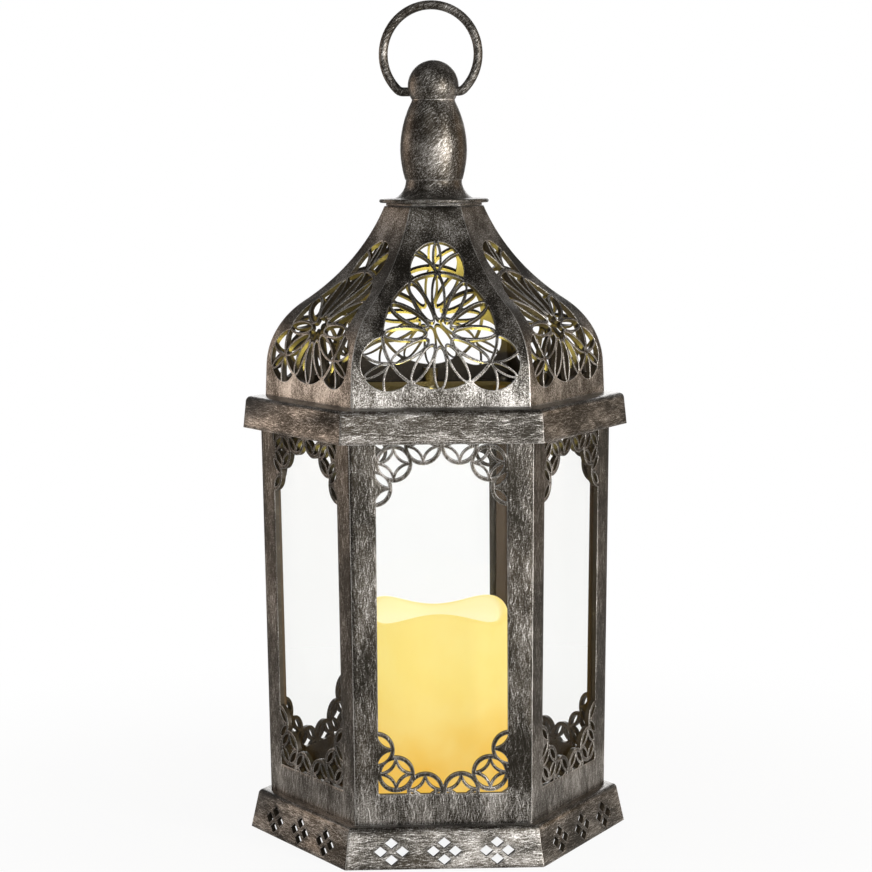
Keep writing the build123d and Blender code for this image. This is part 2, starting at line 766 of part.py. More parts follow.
def make_battery_cover():
    """Sliding cover of the battery bay, with retaining tabs and a ribbed thumb pad."""
    low = FLOOR_LOW + 0.2
    high = 16.0
    tab_low = FLOOR_TOP + 0.1
    with BuildPart() as cover:
        with BuildSketch(Plane.XY.offset(low)):
            RectangleRounded(2 * COVER_HALF, 2 * COVER_Y, 1.0)
        extrude(amount=high - low)
        with BuildSketch(Plane.XY.offset(tab_low)):
            with Locations(*[(x, 0) for x in COVER_TAB_X]):
                Rectangle(COVER_TAB_L, 2 * COVER_TAB_Y)
        extrude(amount=high - tab_low)
        with BuildSketch(Plane.XY.offset(low)):
            with Locations((-16, 0)):
                with GridLocations(1.8, 0, 5, 1):
                    Rectangle(0.9, 12)
        extrude(amount=0.6, mode=Mode.SUBTRACT)
    return cover.part


def make_battery(side):
    """AAA cell lying along X, its positive end at +X for side 1 and at -X for side -1."""
    nub = 0.9
    end = Plane(origin=(-side * CELL_L / 2, side * CELL_Y, CELL_Z), z_dir=(side, 0, 0))
    with BuildPart() as cell:
        with BuildSketch(end):
            Circle(CELL_R)
        extrude(amount=CELL_L - nub)
        fillet(cell.edges(), 0.5)
        with BuildSketch(end.offset(CELL_L - nub)):
            Circle(1.9)
        extrude(amount=nub)
    return cell.part


def contact_strip(x_wall, x_cell, y_low, y_high):
    """Bent leaf contact between the bay's end wall and the cells, seen along Y."""
    leaf = 0.4
    into = leaf if x_cell > x_wall else -leaf
    reach = 4.6
    nose = 0.8
    with BuildPart() as strip:
        with BuildSketch(Plane(origin=(0, y_high, 0), x_dir=(1, 0, 0), z_dir=(0, -1, 0))):
            with BuildLine():
                Polyline(
                    (x_wall, CELL_Z - reach),
                    (x_wall + into, CELL_Z - reach),
                    (x_cell, CELL_Z - nose),
                    (x_cell, CELL_Z + nose),
                    (x_wall + into, CELL_Z + reach),
                    (x_wall, CELL_Z + reach),
                    (x_cell - into, CELL_Z + nose - 0.1),
                    (x_cell - into, CELL_Z - nose + 0.1),
                    close=True,
                )
            make_face()
        extrude(amount=y_high - y_low)
    return strip.part


def make_battery_contacts():
    """Leaf contacts: one link across both cells and two single terminals."""
    wall = 25.4
    end = CELL_L / 2 + 0.05
    outer = 8.6
    gap = 1.2
    with BuildPart() as contacts:
        add(contact_strip(-wall, -end, -outer, outer))
        add(contact_strip(wall, end, gap, outer))
        add(contact_strip(wall, end, -outer, -gap))
    return contacts.part


def make_circuit_board():
    """Timer board beside the battery bay, carrying the slide switch."""
    with BuildPart() as board:
        with BuildSketch(Plane.XY.offset(BOARD_Z)):
            with Locations((0, 18.4)):
                RectangleRounded(22, 9.6, 0.8)
            with Locations(*BOARD_SCREWS):
                Circle(BOARD_SCREW_R + 0.15, mode=Mode.SUBTRACT)
            with Locations((LEAD_X, LEAD_Y), (-LEAD_X, LEAD_Y)):
                Circle(LEAD_R + 0.08, mode=Mode.SUBTRACT)
        extrude(amount=1.0)
    return board.part


def make_timer_chip():
    """Small surface-mount controller on the board."""
    with BuildPart() as chip:
        with BuildSketch(Plane.XY.offset(BOARD_Z + 1.0)):
            with Locations((0, 20.2)):
                Rectangle(5.0, 3.8)
        extrude(amount=1.4)
        chamfer(chip.edges().group_by(Axis.Z)[-1], 0.3)
        with BuildSketch(Plane.XY.offset(BOARD_Z + 1.0)):
            with Locations((0, 20.2)):
                with GridLocations(1.27, 0, 4, 1):
                    Rectangle(0.5, 5.4)
        extrude(amount=0.3)
    return chip.part


def make_switch_body():
    """Slide switch's housing, hanging under the board over its slot."""
    low = 17.9
    wall = 0.6
    length, width = 9.6, 4.6
    with BuildPart() as body:
        with BuildSketch(Plane.XY.offset(low)):
            with Locations((0, SWITCH_Y)):
                Rectangle(length, width)
        extrude(amount=BOARD_Z - low)
        with BuildSketch(Plane.XY.offset(low + wall)):
            with Locations((0, SWITCH_Y)):
                Rectangle(length - 2 * wall, width - 2 * wall)
        extrude(amount=2.5, mode=Mode.SUBTRACT)
        with BuildSketch(Plane.XY.offset(low)):
            with Locations((0, SWITCH_Y)):
                Rectangle(*SWITCH_SLOT)
        extrude(amount=wall, mode=Mode.SUBTRACT)
    return body.part


def make_switch_knob():
    """Slider of the switch: thumb stem below, wider shoe inside the housing."""
    low = FLOOR_LOW + 0.5
    shoe_z = 18.8
    with BuildPart() as knob:
        with BuildSketch(Plane.XY.offset(low)):
            with Locations((SWITCH_TRAVEL, SWITCH_Y)):
                Rectangle(3.2, 2.4)
        extrude(amount=shoe_z - low)
        with BuildSketch(Plane.XY.offset(shoe_z)):
            with Locations((SWITCH_TRAVEL, SWITCH_Y)):
                Rectangle(3.8, 3.1)
        extrude(amount=1.8)
    return knob.part


def make_led_holder():
    """Hollow column that carries the lamp up into the candle's pool."""
    foot = 1.6
    height = HOLDER_TOP - BASE_TOP
    with BuildPart() as holder:
        with BuildSketch(Plane.XY.offset(BASE_TOP)):
            Circle(8.5)
        extrude(amount=foot)
        with BuildSketch(Plane.XY.offset(BASE_TOP)):
            Circle(4.5)
        extrude(amount=height)
        with BuildSketch(Plane.XY.offset(BASE_TOP)):
            Circle(3.3)
        extrude(amount=height, mode=Mode.SUBTRACT)
        with BuildSketch(Plane.XY.offset(BASE_TOP + foot)):
            with Locations((0, 4)):
                Rectangle(4.6, 8)
        extrude(amount=16, mode=Mode.SUBTRACT)
    return holder.part


def make_led_bulb():
    """Amber lamp with a flame-shaped diffuser, seated in the column's mouth."""
    seat = HOLDER_TOP
    tip = 0.5
    with BuildPart() as bulb:
        with BuildSketch(Plane.XZ):
            with BuildLine():
                Polyline((0, seat - 4), (3.2, seat - 4), (3.2, seat), (4.4, seat), (4.4, seat + 1.2))
                Line((4.4, seat + 1.2), (3.2, seat + 1.2))
                ThreePointArc((3.2, seat + 1.2), (3.75, seat + 4.4), (2.7, seat + 7.4))
                ThreePointArc((2.7, seat + 7.4), (1.7, seat + 9.2), (tip, seat + 10.9))
                ThreePointArc(
                    (tip, seat + 10.9),
                    (tip * cos(radians(45)), seat + 10.9 + tip * sin(radians(45))),
                    (0, seat + 10.9 + tip),
                )
                Line((0, seat + 10.9 + tip), (0, seat - 4))
            make_face()
        revolve(axis=Axis.Z)
    return bulb.part


def make_led_leads():
    """Two insulated leads from the board up the column to the lamp."""
    level = 36.0
    head = HOLDER_TOP - 4.3
    with BuildPart() as leads:
        for x in (-LEAD_X, LEAD_X):
            with BuildLine() as route:
                FilletPolyline(
                    (x, LEAD_Y, BOARD_Z + 0.1), (x, LEAD_Y, level), (x, 0, level), (x, 0, head),
                    radius=5.5,
                )
            with BuildSketch(Plane(origin=route.line @ 0, z_dir=route.line % 0)):
                Circle(LEAD_R)
            sweep(path=route.line)
    return leads.part


# ---------------------------------------------------------------- build and write
keep_part(make_plinth(), "base_plinth")
keep_part(make_floor_plate(), "floor_plate")
keep_part(make_eave(), "eave_frame")

WINDOW = make_window()
for number in range(SIDES):
    keep_part(make_side_panel(number, WINDOW), f"side_panel_{number + 1}")
    keep_part(make_pane(number), f"window_pane_{number + 1}")
    keep_part(make_corner_post(number), f"corner_post_{number + 1}")

DOME_SECTOR = make_dome_sector()
for number in range(SIDES):
    with BuildPart() as dome_panel:
        add(DOME_SECTOR, rotation=(0, 0, STEP * number))
    keep_part(dome_panel.part, f"dome_panel_{number + 1}")

keep_part(make_crown_plate(), "crown_plate")
keep_part(make_clamp_plate(), "clamp_plate")
keep_part(make_finial(), "finial")
keep_part(make_ring(), "ring_handle")

keep_part(make_candle_shell(), "candle_shell")
keep_part(make_candle_base(), "candle_base")
keep_part(make_battery_cover(), "battery_cover")
keep_part(make_battery(1), "battery_1")
keep_part(make_battery(-1), "battery_2")
keep_part(make_battery_contacts(), "battery_contacts")
keep_part(make_circuit_board(), "circuit_board")
keep_part(make_timer_chip(), "timer_chip")
keep_part(make_switch_body(), "switch_body")
keep_part(make_switch_knob(), "switch_knob")
keep_part(make_led_holder(), "led_holder")
keep_part(make_led_bulb(), "led_bulb")
keep_part(make_led_leads(), "led_leads")

# Screws; identical ones share a node
with BuildPart() as base_screws:
    for number in range(SIDES):
        turn = radians(STEP * number)
        reach = CORNER_LOW - POST_SCREW
        with Locations((reach * cos(turn), reach * sin(turn), FLOOR_LOW)):
            add(pan_screw(14.0))
keep_part(base_screws.part, "base_screws")

with BuildPart() as eave_screws:
    for number in range(SIDES):
        turn = radians(STEP * number)
        reach = CORNER_HIGH - POST_SCREW
        with Locations(Location((reach * cos(turn), reach * sin(turn), DOME_LOW), (180, 0, 0))):
            add(pan_screw(14.0))
keep_part(eave_screws.part, "eave_screws")

with BuildPart() as dome_screws:
    for number in range(SIDES):
        turn = radians(facing(number))
        with Locations((DOME_SCREW * cos(turn), DOME_SCREW * sin(turn), CEILING)):
            add(pan_screw(6.8))
keep_part(dome_screws.part, "dome_screws")

with BuildPart() as candle_screws:
    for x, y in CANDLE_SCREWS:
        with Locations((x, y, FLOOR_LOW)):
            add(pan_screw(9.0))
keep_part(candle_screws.part, "candle_screws")

with BuildPart() as board_screws:
    for x, y in BOARD_SCREWS:
        with Locations(Location((x, y, BOARD_Z + 1.0), (180, 0, 0))):
            add(pan_screw(4.6, shank=BOARD_SCREW_R, head=1.7, head_h=1.1))
keep_part(board_screws.part, "board_screws")

with BuildPart() as finial_screw:
    with Locations((0, 0, CLAMP_Z)):
        add(pan_screw(24.0, shank=2.0, head=4.2, head_h=2.8))
keep_part(finial_screw.part, "finial_screw")
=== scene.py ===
import math

import bmesh
import bpy
from mathutils import Matrix, Vector


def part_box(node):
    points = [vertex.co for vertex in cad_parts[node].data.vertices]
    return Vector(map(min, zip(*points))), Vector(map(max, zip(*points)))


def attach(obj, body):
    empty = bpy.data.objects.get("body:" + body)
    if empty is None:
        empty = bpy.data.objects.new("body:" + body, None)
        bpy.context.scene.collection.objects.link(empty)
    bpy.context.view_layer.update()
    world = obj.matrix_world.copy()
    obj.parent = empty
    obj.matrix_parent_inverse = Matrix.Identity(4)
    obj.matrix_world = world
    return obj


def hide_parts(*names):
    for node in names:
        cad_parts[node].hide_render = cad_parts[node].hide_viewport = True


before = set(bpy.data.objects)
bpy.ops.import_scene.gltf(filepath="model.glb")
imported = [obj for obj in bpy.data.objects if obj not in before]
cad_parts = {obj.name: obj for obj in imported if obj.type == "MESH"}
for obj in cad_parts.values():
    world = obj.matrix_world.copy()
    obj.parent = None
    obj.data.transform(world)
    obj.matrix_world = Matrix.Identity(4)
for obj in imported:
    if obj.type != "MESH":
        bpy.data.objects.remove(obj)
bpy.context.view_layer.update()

MM = 0.001
SIDES = 6
STEP = math.radians(60)

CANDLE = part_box("candle_shell")
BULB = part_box("led_bulb")

# ---------------------------------------------------------------- camera
CAMERA_AZIMUTH = math.radians(-2.016)
CAMERA_HEIGHT = math.radians(6.50)
CAMERA_ROLL = math.radians(0.396)
CAMERA_DISTANCE = 1.06339
CAMERA_LENS = 102.14  # millimetres, on a 36 mm sensor
CAMERA_SENSOR = 36
CAMERA_REACH = 50  # metres
CAMERA_TARGET = Vector((0.00016, 0, 0.17031))


def make_camera():
    """Camera at the photographed view of the lantern."""
    back = Vector((
        math.sin(CAMERA_AZIMUTH) * math.cos(CAMERA_HEIGHT),
        -math.cos(CAMERA_AZIMUTH) * math.cos(CAMERA_HEIGHT),
        math.sin(CAMERA_HEIGHT),
    ))
    data = bpy.data.cameras.new("camera")
    data.lens = CAMERA_LENS
    data.sensor_width = CAMERA_SENSOR
    data.clip_end = CAMERA_REACH
    camera = bpy.data.objects.new("camera", data)
    bpy.context.scene.collection.objects.link(camera)
    turn = back.to_track_quat("Z", "Y").to_matrix().to_4x4()
    camera.matrix_world = (
        Matrix.Translation(CAMERA_TARGET + back * CAMERA_DISTANCE)
        @ turn
        @ Matrix.Rotation(-CAMERA_ROLL, 4, "Z")
    )
    bpy.context.scene.camera = camera


# ---------------------------------------------------------------- node helpers
BEVEL_SAMPLES = 4
EDGE_TURN = (0.99, 0.90)  # likeness of the rounded normal to the plain one, off an edge and on it
ROUNDING = 2.6  # weight of the rounded normal against the plain one


class Tree:
    """A material's node tree with short calls for the nodes used here."""

    def __init__(self, name):
        self.material = bpy.data.materials.new(name)
        self.material.use_nodes = True
        self.nodes = self.material.node_tree.nodes
        self.links = self.material.node_tree.links
        self.shader = self.nodes["Principled BSDF"]
        self.out = self.nodes["Material Output"]

    def node(self, kind, **values):
        made = self.nodes.new(kind)
        for key, value in values.items():
            setattr(made, key, value)
        return made

    def put(self, socket, value):
        """Links a socket, or sets a plain value."""
        if isinstance(value, bpy.types.NodeSocket):
            self.links.new(value, socket)
        else:
            socket.default_value = value

    def math(self, operation, a, b=0.0, c=0.0):
        made = self.node("ShaderNodeMath", operation=operation)
        for socket, value in zip(made.inputs, (a, b, c)):
            self.put(socket, value)
        return made.outputs[0]

    def mix(self, factor, a, b):
        """Colour b over colour a by factor."""
        made = self.node("ShaderNodeMix", data_type="RGBA")
        self.put(made.inputs["Factor"], factor)
        self.put(made.inputs["A"], a)
        self.put(made.inputs["B"], b)
        return made.outputs["Result"]

    def blend(self, factor, a, b):
        """Number b over number a by factor."""
        made = self.node("ShaderNodeMix", data_type="FLOAT")
        self.put(made.inputs["Factor"], factor)
        self.put(made.inputs["A"], a)
        self.put(made.inputs["B"], b)
        return made.outputs["Result"]

    def step(self, value, low, high, to_low=0.0, to_high=1.0):
        """Smooth ramp of a number from low to high."""
        made = self.node("ShaderNodeMapRange", interpolation_type="SMOOTHSTEP")
        for socket, number in zip(made.inputs, (value, low, high, to_low, to_high)):
            self.put(socket, number)
        return made.outputs[0]

    def vector(self, x, y, z):
        made = self.node("ShaderNodeCombineXYZ")
        for socket, value in zip(made.inputs, (x, y, z)):
            self.put(socket, value)
        return made.outputs[0]

    def noise(self, vector, scale, detail=2.0, roughness=0.5):
        made = self.node("ShaderNodeTexNoise")
        self.put(made.inputs["Vector"], vector)
        made.inputs["Scale"].default_value = scale
        made.inputs["Detail"].default_value = detail
        made.inputs["Roughness"].default_value = roughness
        return made.outputs["Fac"]

    def bump(self, height, distance, strength=1.0, normal=None):
        made = self.node("ShaderNodeBump")
        self.put(made.inputs["Height"], height)
        if normal:
            self.put(made.inputs["Normal"], normal)
        made.inputs["Distance"].default_value = distance
        made.inputs["Strength"].default_value = strength
        return made.outputs["Normal"]

    def normals(self, radius):
        """Normal as if every edge had this radius, and the plain normal."""
        rounded = self.node("ShaderNodeBevel", samples=BEVEL_SAMPLES)
        rounded.inputs["Radius"].default_value = radius
        return rounded.outputs[0], self.node("ShaderNodeNewGeometry").outputs["Normal"]

    def arris(self, radius):
        """1 on a sharp edge, fading to 0 a radius away from it."""
        rounded, plain = self.normals(radius)
        likeness = self.node("ShaderNodeVectorMath", operation="DOT_PRODUCT")
        self.put(likeness.inputs[0], rounded)
        self.put(likeness.inputs[1], plain)
        return self.step(likeness.outputs["Value"], *EDGE_TURN)

    def softened_normal(self, radius):
        """Normal turned part of the way round near an edge, so that mitred pieces meet in a soft corner."""
        rounded, plain = self.normals(radius)
        summed = self.node("ShaderNodeVectorMath", operation="MULTIPLY_ADD")
        self.put(summed.inputs[0], rounded)
        summed.inputs[1].default_value = (ROUNDING,) * 3
        self.put(summed.inputs[2], plain)
        unit = self.node("ShaderNodeVectorMath", operation="NORMALIZE")
        self.put(unit.inputs[0], summed.outputs[0])
        return unit.outputs[0]

    def total(self, *terms):
        """Sum of number times weight for each pair."""
        result = 0.0
        for number, weight in terms:
            result = self.math("MULTIPLY_ADD", number, weight, result)
        return result

    def object_point(self):
        """X, Y and Z of the point in the piece's own frame."""
        made = self.node("ShaderNodeTexCoord")
        split = self.node("ShaderNodeSeparateXYZ")
        self.links.new(made.outputs["Object"], split.inputs[0])
        return tuple(split.outputs)

    def reach(self, x, y):
        """Distance from the upright axis."""
        squares = self.total((self.math("MULTIPLY", x, x), 1.0), (self.math("MULTIPLY", y, y), 1.0))
        return self.math("SQRT", squares)


def hexagon_coordinates(tree):
    """Place on the nearest face of the hexagon: along it, out from the axis, up, and the face's number."""
    x, y, z = tree.object_point()
    angle = tree.math("ARCTAN2", y, x)
    reach = tree.reach(x, y)
    face = tree.math("FLOOR", tree.math("DIVIDE", angle, STEP))
    middle = tree.math("MULTIPLY", tree.math("ADD", face, 0.5), STEP)
    local = tree.math("SUBTRACT", angle, middle)
    along = tree.math("MULTIPLY", reach, tree.math("SINE", local))
    out = tree.math("MULTIPLY", reach, tree.math("COSINE", local))
    return along, out, z, face


# ---------------------------------------------------------------- materials
DARK_PEWTER = (0.014, 0.0120, 0.0085, 1)
WARM_PEWTER = (0.040, 0.034, 0.025, 1)
BROWN_PEWTER = (0.060, 0.046, 0.031, 1)
DULL_SILVER = (0.30, 0.275, 0.245, 1)
CLEAN_SILVER = (0.78, 0.77, 0.755, 1)
WORN_SILVER = (0.90, 0.885, 0.86, 1)

# Strokes of the brush: turn in degrees, texture scale, and stretch along the stroke
HAIR = (0, 2300, 0.12)
LEFT_CUT = (27, 2500, 0.09)
RIGHT_CUT = (-17, 2500, 0.09)
BACK_CUT = (62, 2400, 0.14)
PATCHES = (0, 85, 0.7)
SPECKLE_SCALE = 1700
DRIFT_SCALE = 16
SWAY = 1.4 * MM
SWAY_SCALE = 210
ROUND_TILT = 38  # slant of the strokes on turned pieces, in degrees
FACE_SHIFT = 0.53  # sets each face's pattern apart from the next one's
HAZE_WIDTH = 0.20
CUT_SHARE = 0.48
BRUSH_RELIEF = 0.06 * MM


def scratches(tree, run, cross, depth, tilt, scale, stretch):
    """Noise drawn out along the run direction, turned by tilt degrees."""
    turn = math.radians(tilt)
    along = tree.total((run, math.cos(turn) * stretch), (cross, math.sin(turn) * stretch))
    across = tree.total((run, -math.sin(turn)), (cross, math.cos(turn)))
    return tree.noise(tree.vector(along, across, depth), scale, detail=2, roughness=0.6)


def brushed_metal(name, strokes, silver_amount, patchy, brown, bristle=1.0, length=1.0, foot=None,
                  edge=0.4 * MM, edge_foot=None, edge_gaps=0.8, soft=2.2 * MM, silver_roughness=0.34):
    """Dark pewter, dry-brushed with silver in short crossing strokes, worn bright at its edges.

    patchy is the share of large patches, and brown how far the dark metal turns brown.
    bristle is the share of strokes against stipple, length stretches the strokes and patches.
    foot is (low, high, amount): more silver below low, falling off to none at high.
    edge_foot is (low, high, top share): edges are fully worn below low, less so above high.
    edge_gaps is how far the wear fades where an edge is missed.
    soft is the radius over which the corners catch the light.
    """
    tree = Tree(name)
    if strokes in ("upright", "level"):
        along, out, up, face = hexagon_coordinates(tree)
        along = tree.math("MULTIPLY_ADD", face, FACE_SHIFT, along)
        point = tree.vector(along, up, out)
        run, cross = (up, along) if strokes == "upright" else (along, up)
        depth = out
        tilt = 0
    else:
        # Turned pieces: strokes run across them on a slant
        x, y, up = tree.object_point()
        point = tree.vector(x, y, up)
        run, cross, depth = x, up, y
        tilt = ROUND_TILT

    # The brush wanders a little to each side
    sway = tree.noise(point, SWAY_SCALE, detail=1)
    cross = tree.math("MULTIPLY_ADD", sway, SWAY, cross)

    def strokes_of(kind, drawn_out):
        """Strokes of one kind; drawn out, they lie closer to the run and are longer."""
        turn, scale, stretch = kind
        return scratches(tree, run, cross, depth, tilt + turn / drawn_out, scale, stretch / drawn_out)

    hair = strokes_of(HAIR, length)
    left_cut = strokes_of(LEFT_CUT, length)
    right_cut = strokes_of(RIGHT_CUT, length)
    back_cut = strokes_of(BACK_CUT, 1.0)
    speckle = tree.noise(point, SPECKLE_SCALE, detail=3, roughness=0.75)
    patches = strokes_of(PATCHES, length)
    drift = tree.noise(point, DRIFT_SCALE, detail=1)

    # A soft silver haze, and thin bright cuts through it
    streaks = 0.34 * bristle
    cover = tree.total((hair, streaks), (speckle, 0.92 - patchy - streaks), (patches, patchy), (drift, 0.08))
    if foot:
        cover = tree.math("ADD", cover, tree.step(up, foot[0], foot[1], 0.14 * foot[2], 0.0))
    low = 0.53 - 0.16 * silver_amount
    haze = tree.step(cover, low, low + HAZE_WIDTH)
    cuts = tree.math("MAXIMUM", tree.step(left_cut, 0.56, 0.68), tree.step(right_cut, 0.56, 0.68))
    cuts = tree.math("MAXIMUM", cuts, tree.step(back_cut, 0.60, 0.72, 0.0, 0.8))
    cuts = tree.math("MULTIPLY", cuts, tree.step(cover, low - 0.06, low + 0.12, 0.25, 1.0))
    silver = tree.total((haze, 1 - CUT_SHARE * bristle), (cuts, CUT_SHARE * bristle))

    # Worn edges, ragged and missing in places
    ragged = tree.step(tree.total((speckle, 0.5), (patches, 0.5)), 0.42, 0.60, 1 - edge_gaps, 1.0)
    worn = tree.math("MULTIPLY", tree.arris(edge), ragged)
    if edge_foot:
        worn = tree.math("MULTIPLY", worn, tree.step(up, edge_foot[0], edge_foot[1], 1.0, edge_foot[2]))
    dark = tree.mix(tree.step(patches, 0.42, 0.66), DARK_PEWTER, WARM_PEWTER)
    dark = tree.mix(tree.math("MULTIPLY", tree.step(drift, 0.42, 0.62), brown), dark, BROWN_PEWTER)
    bright = tree.mix(silver, DULL_SILVER, CLEAN_SILVER)
    brushed = tree.mix(silver, dark, bright)
    tree.put(tree.shader.inputs["Base Color"], tree.mix(worn, brushed, WORN_SILVER))
    tree.shader.inputs["Metallic"].default_value = 0.85
    roughness = tree.blend(silver, tree.blend(speckle, 0.26, 0.46), silver_roughness)
    tree.put(tree.shader.inputs["Roughness"], tree.blend(worn, roughness, 0.5))
    height = tree.total((hair, 0.5), (cuts, 0.3), (speckle, 0.5), (patches, 0.8))
    rounded = tree.softened_normal(soft)
    tree.put(tree.shader.inputs["Normal"], tree.bump(height, BRUSH_RELIEF, 0.7, rounded))
    return tree.material


def dull_inside_and_painted_shade(name):
    """Unbrushed dark finish of the inner faces, hole walls and undersides, mottled, with a few pale rubs;
    kept this dark, it also paints the shade inside the lantern and in its holes.
    """
    tree = Tree(name)
    x, y, z = tree.object_point()
    point = tree.vector(x, y, z)
    grain = tree.noise(point, 1500, detail=2, roughness=0.6)
    cloud = tree.noise(point, 90, detail=3, roughness=0.6)
    rubs = tree.step(tree.total((grain, 0.5), (cloud, 0.5)), 0.54, 0.66, 0.0, 0.5)
    # Dark unbrushed base, partly painted shade: kept dark so that the inside and the holes look shaded
    base = tree.mix(cloud, (0.020, 0.016, 0.011, 1), (0.052, 0.041, 0.027, 1))
    tree.put(tree.shader.inputs["Base Color"], tree.mix(rubs, base, (0.14, 0.12, 0.09, 1)))
    tree.shader.inputs["Metallic"].default_value = 0.35
    tree.put(tree.shader.inputs["Roughness"], tree.blend(grain, 0.36, 0.52))
    relief = tree.total((grain, 0.4), (cloud, 0.6))
    tree.put(tree.shader.inputs["Normal"], tree.bump(relief, 0.06 * MM, 0.6))
    return tree.material


def clear_pane():
    """Clear sheet: it lets light through straight, with a slight, uneven reflection."""
    tree = Tree("clear_pane")
    x, y, z = tree.object_point()
    smudge = tree.noise(tree.vector(x, y, z), 40, detail=3, roughness=0.6)
    clear = tree.nodes.new("ShaderNodeBsdfTransparent")
    tree.put(clear.inputs[0], tree.mix(smudge, (0.988, 0.99, 0.985, 1), (0.998, 0.998, 0.996, 1)))
    gloss = tree.nodes.new("ShaderNodeBsdfGlossy")
    tree.put(gloss.inputs["Roughness"], tree.step(smudge, 0.3, 0.7, 0.02, 0.12))
    gloss.inputs["Color"].default_value = (1, 1, 1, 1)
    facing = tree.nodes.new("ShaderNodeLayerWeight").outputs["Facing"]
    mixer = tree.nodes.new("ShaderNodeMixShader")
    tree.links.new(tree.math("MULTIPLY_ADD", tree.math("POWER", facing, 5.0), 0.25, 0.008), mixer.inputs[0])
    tree.links.new(clear.outputs[0], mixer.inputs[1])
    tree.links.new(gloss.outputs[0], mixer.inputs[2])
    tree.links.new(mixer.outputs[0], tree.out.inputs[0])
    tree.nodes.remove(tree.shader)
    return tree.material


# Ways in from the candle's side to where the pool's painted glow begins and where it is full
POOL_EDGE = 1.0 * MM
POOL_GLOW = 6.0 * MM


def wax_with_painted_glow():
    """Wax-look sleeve with a painted glow that stands in for the light from inside: paler and brighter
    towards the pool.
    """
    tree = Tree("candle_wax")
    x, y, z = tree.object_point()
    reach = tree.reach(x, y)
    rise = tree.step(z, CANDLE[0].z, CANDLE[0].z + 0.75 * (CANDLE[1].z - CANDLE[0].z))
    inside = tree.step(reach, CANDLE[1].x - POOL_EDGE, CANDLE[1].x - POOL_GLOW)
    cloud = tree.noise(tree.vector(x, y, z), 38, detail=3, roughness=0.55)
    mottle = tree.noise(tree.vector(x, y, z), 420, detail=2, roughness=0.6)
    # Painted glow: orange low on the sleeve, paler and brighter towards the top, with painted mottling
    glow = tree.mix(rise, (0.83, 0.46, 0.05, 1), (0.93, 0.74, 0.205, 1))
    glow = tree.mix(tree.step(cloud, 0.35, 0.7, 0.0, 0.30), glow, (0.97, 0.84, 0.33, 1))
    glow = tree.mix(tree.step(mottle, 0.3, 0.7, 0.0, 0.10), glow, (0.74, 0.48, 0.10, 1))
    # Painted glow of the pool, palest just inside the rim
    glow = tree.mix(inside, glow, (0.96, 0.90, 0.52, 1))
    # Base colour kept dark, so that the lamps hardly light the sleeve and the painted glow gives its colour
    surface = tree.mix(mottle, (0.085, 0.065, 0.025, 1), (0.12, 0.095, 0.04, 1))
    tree.put(tree.shader.inputs["Base Color"], surface)
    tree.shader.inputs["Roughness"].default_value = 0.5
    tree.shader.inputs["Specular IOR Level"].default_value = 0.15
    tree.put(tree.shader.inputs["Emission Color"], glow)
    tree.shader.inputs["Emission Strength"].default_value = 1.0
    relief = tree.total((cloud, 1.0), (mottle, 0.15))
    tree.put(tree.shader.inputs["Normal"], tree.bump(relief, 0.4 * MM, 0.5))
    return tree.material


def glowing_lamp():
    """The small lamp, palest at its tip."""
    tree = Tree("led_glow")
    x, y, z = tree.object_point()
    rise = tree.step(z, BULB[0].z, BULB[1].z)
    grain = tree.noise(tree.vector(x, y, z), 900, detail=2)
    lens = tree.mix(grain, (0.95, 0.80, 0.45, 1), (1.0, 0.88, 0.60, 1))
    tree.put(tree.shader.inputs["Base Color"], lens)
    glow = tree.mix(rise, (1.0, 0.78, 0.22, 1), (1.0, 0.92, 0.55, 1))
    tree.put(tree.shader.inputs["Emission Color"], glow)
    tree.shader.inputs["Emission Strength"].default_value = 3.0
    return tree.material


def moulded(name, colour, spread=0.12, roughness=0.5, grain_size=1400, metallic=0.0):
    """Moulded or plated stock with a fine grain and slight tone changes."""
    tree = Tree(name)
    x, y, z = tree.object_point()
    point = tree.vector(x, y, z)
    grain = tree.noise(point, grain_size, detail=3, roughness=0.6)
    tone = tree.noise(point, 60, detail=2)
    darker = tuple(c * (1 - spread) for c in colour) + (1,)
    lighter = tuple(min(1, c * (1 + spread)) for c in colour) + (1,)
    tree.put(tree.shader.inputs["Base Color"], tree.mix(tone, darker, lighter))
    tree.put(tree.shader.inputs["Roughness"], tree.blend(grain, roughness - 0.08, roughness + 0.1))
    tree.shader.inputs["Metallic"].default_value = metallic
    tree.put(tree.shader.inputs["Normal"], tree.bump(grain, 0.04 * MM, 0.5))
    return tree.material


def assign(node, material):
    """Gives a CAD node one material on every face."""
    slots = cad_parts[node].data.materials
    slots.clear()
    slots.append(material)


# ---------------------------------------------------------------- castings
SMOOTH_AREA = 3e-6  # square metres; larger faces of a casting are flat ones
SMOOTH_ANGLE = math.radians(28)
SAME_POINT = 0.002 * MM
FLAT_ANGLE = math.radians(0.6)
BROKEN_ANGLE = math.radians(35)  # a CAD edge sharper than this has its arris broken
BROKEN_WIDTH = 0.25 * MM


class Side:
    """The face of the hexagon that a place is on, with the directions out of it and along it."""

    def __init__(self, place):
        heading = (math.floor(math.atan2(place.y, place.x) / STEP) + 0.5) * STEP
        self.out = Vector((math.cos(heading), math.sin(heading), 0))
        self.along = Vector((-math.sin(heading), math.cos(heading), 0))

    def half_width(self, place):
        """Distance from the face's middle to its mitre, as far out as the place is."""
        return place.dot(self.out) * math.tan(STEP / 2)


def cad_mesh(node):
    """A CAD node's mesh to work on, its doubled points joined."""
    made = bmesh.new()
    made.from_mesh(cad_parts[node].data)
    bmesh.ops.remove_doubles(made, verts=made.verts, dist=SAME_POINT)
    return made


